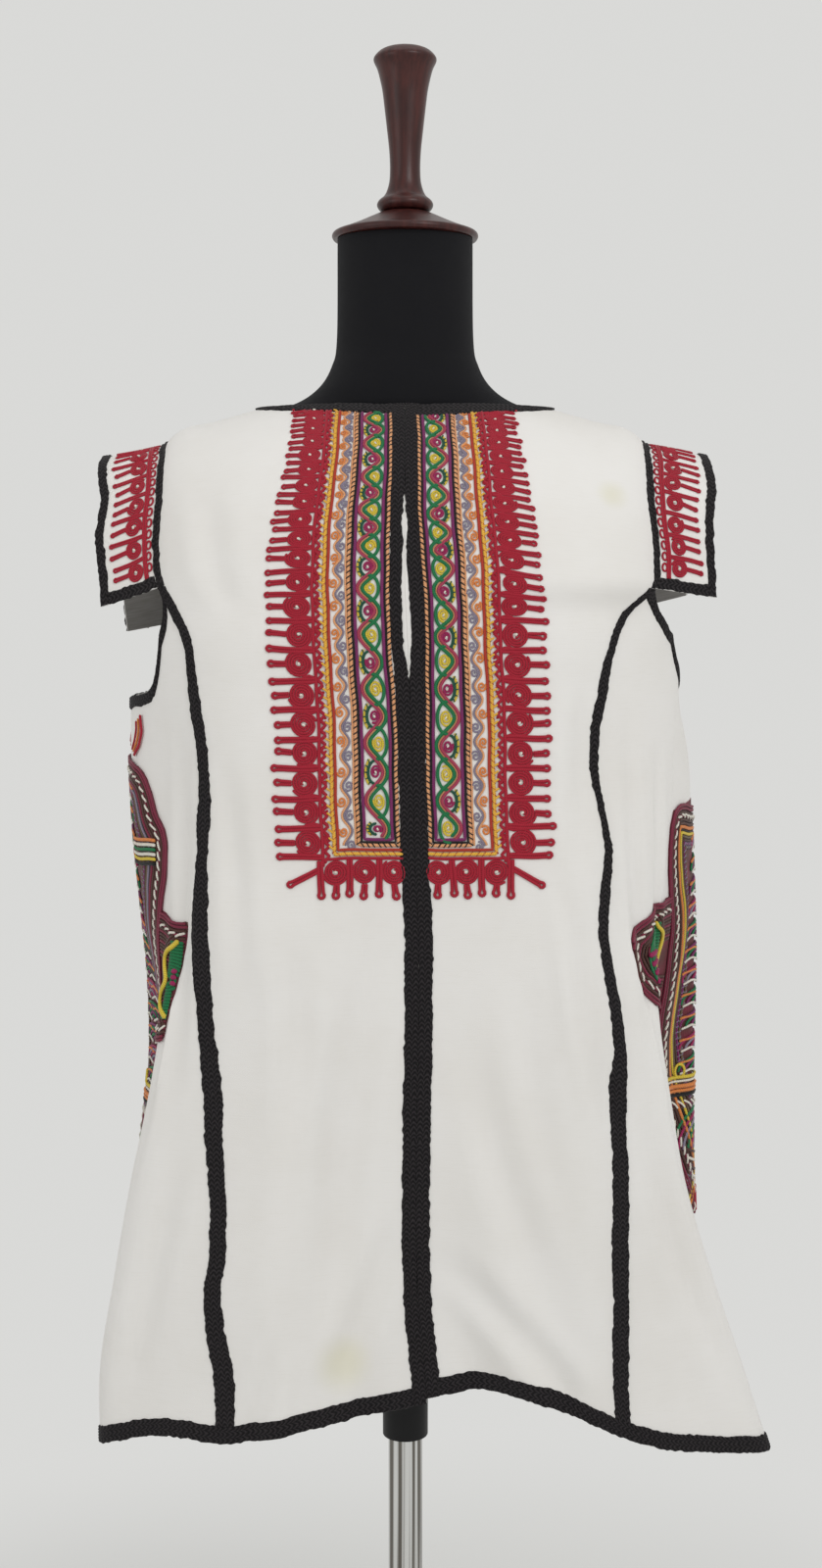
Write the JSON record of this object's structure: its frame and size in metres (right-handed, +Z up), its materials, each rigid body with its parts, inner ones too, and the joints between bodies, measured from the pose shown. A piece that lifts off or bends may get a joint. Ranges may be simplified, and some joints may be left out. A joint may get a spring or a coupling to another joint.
{
  "type": "embroidered folk coat on a dress form stand",
  "caption": "Short white folk coat, open down the front, with black braid on every seam and edge and an embroidered yoke, standing on a height-adjustable limbless dress form.",
  "frame": {"origin": "centre of the base plate's underside, on the floor under the pole", "axes": "+Z up along the pole, -Y out of the coat's front opening, +X to the right as one looks at the front"},
  "size_m": [0.5653, 0.4, 1.703],
  "materials": {
    "white_cotton": "washed plain-weave cotton, off-white, matte",
    "black_braid": "flat black wool braid with a herringbone plait",
    "embroidery": "couched wool and silk cords in crimson, orange, green, yellow and plum",
    "black_jersey": "stretched black cotton jersey, matte",
    "dark_wood": "turned, stained dark brown, satin lacquer",
    "chrome": "polished chrome plate",
    "black_plastic": "moulded, fine texture"
  },
  "bodies": {
    "stand": {"base_plate": "chrome", "lower_pole": "chrome", "pole_clamp": "black_plastic"},
    "form": {"upper_pole": "chrome", "form_torso": "black_jersey", "neck_cap": "dark_wood", "finial": "dark_wood", "front_right": "white_cotton", "front_left": "white_cotton", "gore_front_right": "white_cotton", "gore_front_left": "white_cotton", "gusset_right": "embroidery", "gusset_left": "embroidery", "gore_back_right": "white_cotton", "gore_back_left": "white_cotton", "back": "white_cotton", "sleeve_right": "white_cotton", "sleeve_left": "white_cotton", "edge_braid_right": "black_braid", "edge_braid_left": "black_braid", "neck_braid_right": "black_braid", "neck_braid_left": "black_braid", "neck_braid_back": "black_braid", "princess_braid_front_right": "black_braid", "princess_braid_front_left": "black_braid", "princess_braid_back_right": "black_braid", "princess_braid_back_left": "black_braid", "underarm_braid_right": "black_braid", "underarm_braid_left": "black_braid", "armhole_braid_right": "black_braid", "armhole_braid_left": "black_braid", "sleeve_braid_right": "black_braid", "sleeve_braid_left": "black_braid", "hem_braid_front_right": "black_braid", "hem_braid_front_left": "black_braid", "hem_braid_side_right": "black_braid", "hem_braid_side_left": "black_braid", "hem_braid_back": "black_braid"}
  },
  "joints": [
    {"name": "height", "type": "slide", "parent": "stand", "child": "form", "axis": [0, 0, 1], "range_m": [-0.15, 0.2]}
  ]
}
